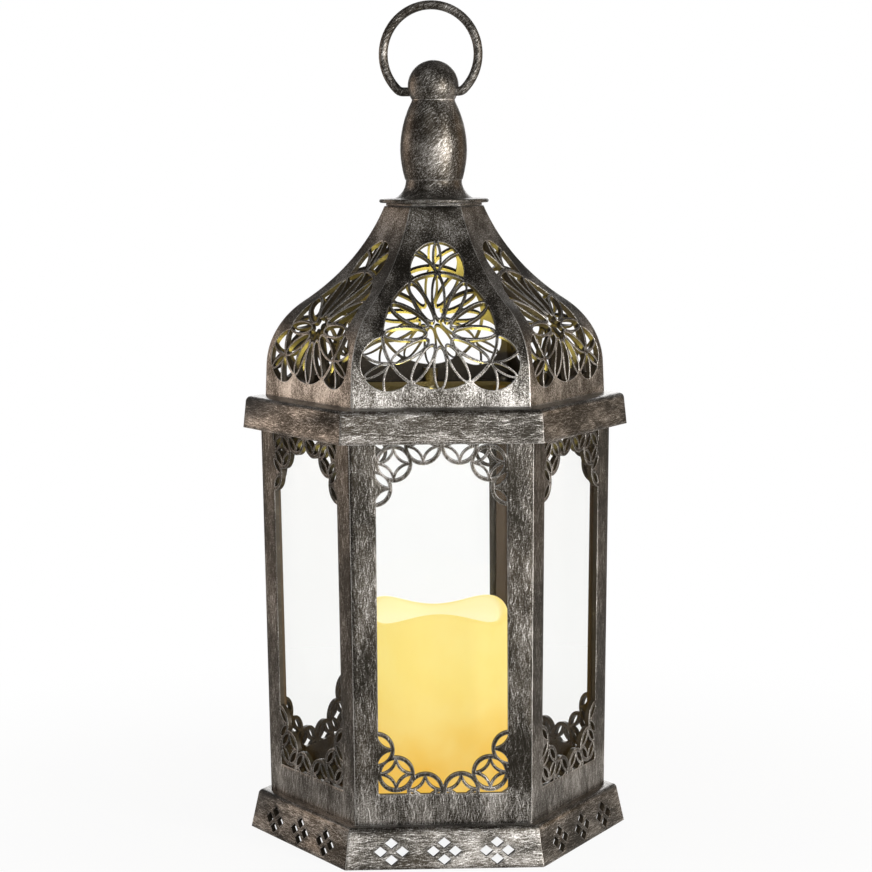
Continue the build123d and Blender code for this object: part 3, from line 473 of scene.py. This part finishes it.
def finish_casting(made, name, node, material, all_smooth=False):
    """Turns a bmesh into the piece that stands for a CAD node."""
    mesh = bpy.data.meshes.new(name)
    made.to_mesh(mesh)
    made.free()
    for polygon in mesh.polygons:
        polygon.use_smooth = all_smooth or polygon.area < SMOOTH_AREA
    mesh.set_sharp_from_angle(angle=SMOOTH_ANGLE)
    mesh.materials.append(material)
    piece = bpy.data.objects.new(name, mesh)
    bpy.context.scene.collection.objects.link(piece)
    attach(piece, "root")
    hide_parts(node)
    return piece


def cast_copy(node, material, inside):
    """Copy of a CAD node with its sharp edges broken; its holes, inner faces and undersides are left
    unbrushed, in the dark finish that also paints the shade there.
    """
    made = cad_mesh(node)
    bmesh.ops.dissolve_limit(made, angle_limit=FLAT_ANGLE, verts=made.verts, edges=made.edges)
    sharp = [e for e in made.edges if len(e.link_faces) == 2 and e.calc_face_angle(0) > BROKEN_ANGLE]
    bmesh.ops.bevel(
        made, geom=sharp, offset=BROKEN_WIDTH, offset_type="OFFSET", segments=1,
        profile=0.5, affect="EDGES", clamp_overlap=True,
    )
    mesh = finish_casting(made, node + "_cast", node, material).data
    mesh.materials.append(inside)
    # Hole walls, inner faces and undersides take the dark finish, which paints the shade in them
    for polygon in mesh.polygons:
        side = Side(polygon.center)
        outward = polygon.normal.dot(side.out)
        sideways = abs(polygon.normal.dot(side.along))
        hole_wall = outward < 0.8 and sideways > 0.3
        if outward < -0.3 or hole_wall or polygon.normal.z < -0.9:
            polygon.material_index = 1


SHEET_ARRIS = 0.18 * MM
CAD_SEAM = 0.04 * MM  # gap from each panel to the mitre, in CAD
SHEET_SEAM = 0.002 * MM  # and here
OUTER_LIKENESS = 0.97
TIGHTEST_SPREAD = 0.6
OUTER_SKIN = 1
INNER_SKIN = -1
ARRIS_SKIN = 2
PANEL_SHEET = 2.0 * MM
PANEL_LEAN = math.asin(2.035 / 170.4)  # the body is wider at its head
DOME_SHEET = 2.0 * MM
DOME_LEAN = math.radians(2)
DOME_FOOT_TOP = 201.9 * MM
SHOULDER_R = 35.3 * MM
SHOULDER_LEAN = math.radians(53.3)
SHOULDER_TOP = DOME_FOOT_TOP + SHOULDER_R * (math.sin(SHOULDER_LEAN) - math.sin(DOME_LEAN))
SWEEP_R = 88.6 * MM
BOSS_R = 3.3 * MM
BOSS_OUT = 56.5 * MM
BOSS_TOP = 195.0 * MM
BOSS_ROOT = 1.5 * MM
BOSS_STEPS = 12


def dome_lean(z):
    """Angle of the dome's outer face off vertical at a height."""
    if z <= DOME_FOOT_TOP:
        return DOME_LEAN
    if z <= SHOULDER_TOP:
        return math.asin(math.sin(DOME_LEAN) + (z - DOME_FOOT_TOP) / SHOULDER_R)
    return math.asin(math.sin(SHOULDER_LEAN) - (z - SHOULDER_TOP) / SWEEP_R)


def panel_normal(out, place):
    """Way a side panel's flat outer face looks."""
    return out * math.cos(PANEL_LEAN) - Vector((0, 0, math.sin(PANEL_LEAN)))


def dome_normal(out, place):
    """Way the dome's outer face looks at a place, on the face that looks out."""
    lean = dome_lean(place.z)
    return out * math.cos(lean) + Vector((0, 0, math.sin(lean)))


def keep_outer_face(made, side, normal_of):
    """Deletes all of a panel but its outer face."""
    rest = [
        f for f in made.faces
        if f.normal.dot(normal_of(side.out, f.calc_center_median())) <= OUTER_LIKENESS
    ]
    bmesh.ops.delete(made, geom=rest, context="FACES")
    made.normal_update()


def meets_neighbour(edge, side):
    """True for an edge that lies on the mitre to the next panel."""
    return max(side.half_width(v.co) - abs(v.co.dot(side.along)) for v in edge.verts) < 2 * CAD_SEAM


def close_seams(joined, side):
    """Moves the mitred edges out until only the sheet seam is left."""
    for vert in {v for e in joined for v in e.verts}:
        sideways = vert.co.dot(side.along)
        reach = side.half_width(vert.co) - SHEET_SEAM
        vert.co += side.along * (math.copysign(reach, sideways) - sideways)


def ways_into_sheet(edges):
    """For each vertex of these outline edges, the ways along the surface into the sheet."""
    ways = {}
    for edge in edges:
        face = edge.link_faces[0]
        way = face.normal.cross(edge.verts[1].co - edge.verts[0].co).normalized()
        if way.dot(face.calc_center_median() - edge.verts[0].co) < 0:
            way.negate()
        for vert in edge.verts:
            ways.setdefault(vert, []).append(way)
    return ways


def add_boss(made, side, low_z):
    """Half-round screw boss inside the foot, run back into the sheet."""
    arc = [math.pi * k / BOSS_STEPS for k in range(BOSS_STEPS + 1)]
    shape = [(BOSS_R * math.cos(a), BOSS_OUT - BOSS_R * math.sin(a)) for a in arc]
    shape += [(-BOSS_R, BOSS_OUT + BOSS_R + BOSS_ROOT), (BOSS_R, BOSS_OUT + BOSS_R + BOSS_ROOT)]
    rows = [
        [made.verts.new(side.along * a + side.out * o + Vector((0, 0, z))) for a, o in shape]
        for z in (low_z, BOSS_TOP)
    ]
    made.faces.new(rows[0])
    made.faces.new(reversed(rows[1]))
    for n in range(len(shape)):
        m = (n + 1) % len(shape)
        made.faces.new((rows[0][m], rows[0][n], rows[1][n], rows[1][m]))


def thicken(made, side, sheet, normal_at, lowest):
    """Gives the outer face its thickness: opening walls square to it, arrises broken, mitres sharp."""

    def held(place):
        """Keeps a point of the inner face above the lowest level and on its own side of the mitre."""
        place.z = max(place.z, lowest)
        excess = abs(place.dot(side.along)) - (side.half_width(place) - SHEET_SEAM)
        if excess > 0:
            place -= side.along * math.copysign(excess, place.dot(side.along))
        return place

    outline = [e for e in made.edges if len(e.link_faces) == 1]
    joined = {e for e in outline if meets_neighbour(e, side)}
    close_seams(joined, side)
    inward = ways_into_sheet([e for e in outline if e not in joined])

    skin = made.faces.layers.int.new("skin")
    back = {}
    brow = {}
    for vert in list(made.verts):
        normal = normal_at(vert.co)
        if vert in inward:
            brow[vert] = made.verts.new(held(vert.co - normal * SHEET_ARRIS))
        back[vert] = made.verts.new(held(vert.co - normal * sheet))
    for face in list(made.faces):
        face[skin] = OUTER_SKIN
        made.faces.new([back[v] for v in reversed(face.verts)])[skin] = INNER_SKIN
    for edge in outline:
        loop = next(c for c in edge.link_faces[0].loops if c.edge == edge)
        first = loop.vert
        second = edge.other_vert(first)
        if edge in joined:
            corners = [second, first, brow.get(first), back[first], back[second], brow.get(second)]
            made.faces.new([c for c in corners if c])
            continue
        made.faces.new((second, first, brow[first], brow[second]))[skin] = ARRIS_SKIN
        made.faces.new((brow[second], brow[first], back[first], back[second]))
    for vert, ways in inward.items():
        way = sum(ways, Vector()).normalized()
        spread = max(TIGHTEST_SPREAD, min(way.dot(w) for w in ways))
        vert.co += way * SHEET_ARRIS / spread


def sheet_casting(node, sheet, normal_of, material, inside, has_boss=False):
    """Cast panel made from its CAD outer face; one with a boss stands on a flat foot."""
    made = cad_mesh(node)
    low_z = min(v.co.z for v in made.verts)
    side = Side(sum((v.co for v in made.verts), Vector()) / len(made.verts))

    def normal_at(place):
        return normal_of(side.out, place)

    keep_outer_face(made, side, normal_of)
    thicken(made, side, sheet, normal_at, low_z if has_boss else -math.inf)
    if has_boss:
        add_boss(made, side, low_z)
    bmesh.ops.recalc_face_normals(made, faces=made.faces)
    mesh = finish_casting(made, node + "_cast", node, material, all_smooth=True).data

    # The sheet's two faces shade as one smooth surface, everything else flat; only the outside is brushed,
    # and the inner face and opening walls get the dark finish that also paints the shade inside the lantern
    mesh.materials.append(inside)
    shading = []
    for polygon, item in zip(mesh.polygons, mesh.attributes["skin"].data):
        polygon.material_index = 0 if item.value > 0 else 1
        for corner in polygon.vertices:
            curved = normal_at(mesh.vertices[corner].co)
            shading.append({OUTER_SKIN: curved, INNER_SKIN: -curved}.get(item.value, polygon.normal.copy()))
    mesh.normals_split_custom_set(shading)


# ---------------------------------------------------------------- candle
WAX_TURNS = 144
WAX_LOBES = 3
WAX_RIM_MEAN = 95 * MM
WAX_RIM_SWING = 3 * MM
WAX_RIM = 2.1 * MM
WAX_GAP = 0.05 * MM  # inside the CAD sleeve
WAX_SAG = 0.25 * MM
POOL_Z = 83.5 * MM
POOL_BANK = 7.5 * MM
LAMP_HOLE = 5.2 * MM
BORE_R = 28.5 * MM
BORE_EASE = 6.0 * MM
POOL_SHEET = 2.5 * MM
WALL_STEPS = 14
RIM_STEPS = 8
BANK_STEPS = 8
POOL_STEPS = 7


def wax_point(kind, share, angle):
    """Radius and height of the candle's outside, a share of the way along one stretch of its section."""
    low, high = CANDLE
    radius = (high.x - low.x) / 2
    rim_z = WAX_RIM_MEAN + WAX_RIM_SWING * math.cos(WAX_LOBES * (angle + math.pi / 2))
    crest = rim_z - WAX_RIM
    if kind == "wall":
        return radius - WAX_GAP, low.z + (crest - low.z) * share
    if kind == "rim":
        across = radius - WAX_GAP - WAX_RIM + WAX_RIM * math.cos(math.pi * share)
        return across, crest + WAX_RIM * math.sin(math.pi * share)
    if kind == "bank":
        sag = WAX_SAG * math.sin(5 * angle + 1.0) * math.sin(math.pi * share)
        across = radius - 2 * WAX_RIM - WAX_GAP - POOL_BANK * share**1.6
        return across, crest - (crest - POOL_Z) * math.sin(math.pi / 2 * share) ** 0.9 + sag
    pool_edge = radius - 2 * WAX_RIM - WAX_GAP - POOL_BANK
    return pool_edge + (LAMP_HOLE - pool_edge) * share, POOL_Z


def wax_candle(material):
    """Candle sleeve with a melted, three-lobed rim around the pool."""
    section = [("wall", k / WALL_STEPS) for k in range(WALL_STEPS + 1)]
    section += [("rim", k / RIM_STEPS) for k in range(1, RIM_STEPS)]
    section += [("bank", k / BANK_STEPS) for k in range(BANK_STEPS + 1)]
    section += [("pool", k / POOL_STEPS) for k in range(1, POOL_STEPS + 1)]
    ceiling = POOL_Z - POOL_SHEET
    bore = [
        (LAMP_HOLE, ceiling),
        (BORE_R - BORE_EASE, ceiling),
        (BORE_R, ceiling - BORE_EASE),
        (BORE_R, CANDLE[0].z),
    ]
    made = bmesh.new()
    angles = [2 * math.pi * n / WAX_TURNS for n in range(WAX_TURNS)]

    def ring(point_at):
        points = [(angle, *point_at(angle)) for angle in angles]
        return [made.verts.new((r * math.cos(a), r * math.sin(a), z)) for a, r, z in points]

    rows = [ring(lambda angle: wax_point(kind, share, angle)) for kind, share in section]
    rows += [ring(lambda angle: point) for point in bore]
    rows.append(rows[0])
    for a, b in zip(rows, rows[1:]):
        for n in range(WAX_TURNS):
            m = (n + 1) % WAX_TURNS
            made.faces.new((a[n], a[m], b[m], b[n]))
    bmesh.ops.recalc_face_normals(made, faces=made.faces)
    mesh = bpy.data.meshes.new("candle_wax")
    made.to_mesh(mesh)
    made.free()
    for polygon in mesh.polygons:
        polygon.use_smooth = True
    mesh.materials.append(material)
    piece = bpy.data.objects.new("candle_wax", mesh)
    bpy.context.scene.collection.objects.link(piece)
    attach(piece, "root")
    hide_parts("candle_shell")


# ---------------------------------------------------------------- stage and light
FLOOR_R = 12.0
FLOOR_DROP = 0.2 * MM
WORLD_FILL = 0.20
MIDDLE = (0, 0, 0.19)

# Name, place, aim, size, power and colour of each area light
SOFTBOXES = (
    ("front_band", (0.32, -1.5, 0.26), MIDDLE, (1.0, 0.45), 8.5, (1.0, 0.99, 0.98)),
    ("near_right", (0.66, -0.72, 0.30), (0.03, 0, 0.17), (0.16, 0.6), 8.0, (1.0, 0.95, 0.89)),
    ("high_key", (-0.3, -1.0, 1.0), MIDDLE, (0.6, 0.5), 2.4, (1, 1, 1)),
    ("left_rear", (-1.15, 0.45, 0.35), MIDDLE, (0.35, 0.9), 3.3, (1.0, 0.78, 0.62)),
    ("right_rear", (1.15, 0.35, 0.35), MIDDLE, (0.3, 0.9), 1.5, (1.0, 0.68, 0.40)),
    ("back_light", (0.1, 1.5, 0.45), MIDDLE, (0.9, 0.6), 6, (1, 1, 1)),
)
BEAM_POWER = 2.2
BEAM_COLOUR = (1.0, 0.84, 0.18)
BEAM_ANGLE = math.radians(84)
BEAM_BLEND = 0.7
BEAM_SOURCE = 4.0 * MM
BEAM_LIFT = 1.0 * MM


def make_stage():
    """Pale round floor that runs out to the background's white."""
    tree = Tree("pale_floor")
    x, y, z = tree.object_point()
    reach = tree.reach(x, y)
    grain = tree.noise(tree.vector(x, y, z), 60, detail=2)
    paper = tree.mix(grain, (0.80, 0.80, 0.79, 1), (0.83, 0.83, 0.82, 1))
    tree.put(tree.shader.inputs["Base Color"], paper)
    tree.shader.inputs["Roughness"].default_value = 0.8
    glow = tree.nodes.new("ShaderNodeEmission")
    glow.inputs["Color"].default_value = (1, 1, 1, 1)
    glow.inputs["Strength"].default_value = 1.0
    seen = tree.nodes.new("ShaderNodeLightPath").outputs["Is Camera Ray"]
    share = tree.math("MULTIPLY", tree.step(reach, 0.09, 0.40, 0.92, 1.0), seen)
    mixer = tree.nodes.new("ShaderNodeMixShader")
    tree.links.new(share, mixer.inputs[0])
    tree.links.new(tree.shader.outputs[0], mixer.inputs[1])
    tree.links.new(glow.outputs[0], mixer.inputs[2])
    tree.links.new(mixer.outputs[0], tree.out.inputs[0])
    made = bmesh.new()
    bmesh.ops.create_circle(made, cap_ends=True, segments=128, radius=FLOOR_R)
    mesh = bpy.data.meshes.new("floor")
    made.to_mesh(mesh)
    made.free()
    mesh.materials.append(tree.material)
    floor = bpy.data.objects.new("floor", mesh)
    floor.location.z = -FLOOR_DROP
    bpy.context.scene.collection.objects.link(floor)


def softbox(name, place, aim, size, power, colour):
    """Rectangular area light at a place, turned to a point."""
    data = bpy.data.lights.new(name, "AREA")
    data.shape = "RECTANGLE"
    data.size, data.size_y = size
    data.energy = power
    data.color = colour
    lamp = bpy.data.objects.new(name, data)
    lamp.location = place
    lamp.rotation_euler = (Vector(place) - Vector(aim)).to_track_quat("Z", "Y").to_euler()
    lamp.visible_camera = False
    bpy.context.scene.collection.objects.link(lamp)


def make_world():
    """White surround for the camera, dimmer for the light it gives."""
    world = bpy.data.worlds.new("studio")
    bpy.context.scene.world = world
    world.use_nodes = True
    nodes = world.node_tree.nodes
    links = world.node_tree.links
    seen = nodes["Background"]
    seen.inputs["Color"].default_value = (1, 1, 1, 1)
    seen.inputs["Strength"].default_value = 1.0
    fill = nodes.new("ShaderNodeBackground")
    fill.inputs["Color"].default_value = (1.0, 0.97, 0.94, 1)
    fill.inputs["Strength"].default_value = WORLD_FILL
    rays = nodes.new("ShaderNodeLightPath")
    mixer = nodes.new("ShaderNodeMixShader")
    links.new(rays.outputs["Is Camera Ray"], mixer.inputs[0])
    links.new(fill.outputs[0], mixer.inputs[1])
    links.new(seen.outputs[0], mixer.inputs[2])
    links.new(mixer.outputs[0], nodes["World Output"].inputs[0])


def make_lights():
    """A broad front light, weaker ones beside and behind, and the candle's upward beam."""
    for row in SOFTBOXES:
        softbox(*row)
    beam = bpy.data.lights.new("lamp_beam", "SPOT")
    beam.energy = BEAM_POWER
    beam.color = BEAM_COLOUR
    beam.spot_size = BEAM_ANGLE
    beam.spot_blend = BEAM_BLEND
    beam.shadow_soft_size = BEAM_SOURCE
    lamp = bpy.data.objects.new("lamp_beam", beam)
    lamp.location = (BULB[0] + BULB[1]) / 2
    lamp.location.z = BULB[1].z + BEAM_LIFT
    lamp.rotation_euler = (math.pi, 0, 0)
    bpy.context.scene.collection.objects.link(lamp)


# ---------------------------------------------------------------- putting it together
make_camera()
make_world()
make_stage()
make_lights()

BODY_METAL = brushed_metal(
    "pewter_body", "upright", silver_amount=0.42, patchy=0.22, brown=0.3, bristle=0.9, length=1.35,
    foot=(26 * MM, 38 * MM, 0.40), edge=0.36 * MM, edge_gaps=0.75,
)
DOME_METAL = brushed_metal(
    "pewter_dome", "upright", silver_amount=0.44, patchy=0.27, brown=0.4, bristle=0.45,
    foot=(196 * MM, 214 * MM, 0.28), edge=0.5 * MM, edge_foot=(210 * MM, 235 * MM, 0.6),
    edge_gaps=0.6, soft=0.8 * MM,
)
LEVEL = brushed_metal(
    "pewter_level", "level", silver_amount=0.62, patchy=0.26, brown=0.3, bristle=0.85, length=1.35,
)
ROUND = brushed_metal(
    "pewter_round", "slanting", silver_amount=0.54, patchy=0.26, brown=0.3, length=1.2, silver_roughness=0.54,
)
INNER = moulded("inner_frame", (0.062, 0.040, 0.020), spread=0.25, grain_size=900, metallic=0.3)
# Dark finish of the insides, which is also their painted shade
INSIDE_AND_SHADE = dull_inside_and_painted_shade("pewter_inside_and_painted_shade")
PANE = clear_pane()

for node in ("base_plinth", "eave_frame", "crown_plate"):
    cast_copy(node, LEVEL, INSIDE_AND_SHADE)
assign("finial", ROUND)
assign("ring_handle", ROUND)
for side in range(1, SIDES + 1):
    sheet_casting(f"side_panel_{side}", PANEL_SHEET, panel_normal, BODY_METAL, INSIDE_AND_SHADE)
    sheet_casting(f"dome_panel_{side}", DOME_SHEET, dome_normal, DOME_METAL, INSIDE_AND_SHADE, has_boss=True)
    assign(f"window_pane_{side}", PANE)
    assign(f"corner_post_{side}", INNER)
assign("floor_plate", INNER)
assign("clamp_plate", INNER)

# Candle sleeve, with its glow painted in as emission
wax_candle(wax_with_painted_glow())
assign("led_bulb", glowing_lamp())

IVORY = moulded("ivory_plastic", (0.80, 0.74, 0.58), spread=0.05)
for node in ("candle_base", "battery_cover", "led_holder"):
    assign(node, IVORY)
BLACK = moulded("black_plastic", (0.03, 0.03, 0.03), spread=0.2, roughness=0.45)
for node in ("timer_chip", "switch_body", "switch_knob"):
    assign(node, BLACK)
SLEEVE = moulded("battery_sleeve", (0.08, 0.10, 0.12), spread=0.1, roughness=0.3)
assign("battery_1", SLEEVE)
assign("battery_2", SLEEVE)
PLATED = moulded("contact_metal", (0.75, 0.73, 0.68), spread=0.05, roughness=0.25, metallic=1.0)
assign("battery_contacts", PLATED)
assign("circuit_board", moulded("board_green", (0.04, 0.18, 0.09), spread=0.15, roughness=0.4))
assign("led_leads", moulded("lead_insulation", (0.42, 0.04, 0.03), spread=0.1))
STEEL = moulded("screw_steel", (0.30, 0.29, 0.27), spread=0.1, roughness=0.38, metallic=1.0)
for node in ("base_screws", "eave_screws", "dome_screws", "candle_screws", "board_screws", "finial_screw"):
    assign(node, STEEL)

bpy.context.scene.view_settings.view_transform = "Standard"
bpy.context.view_layer.update()
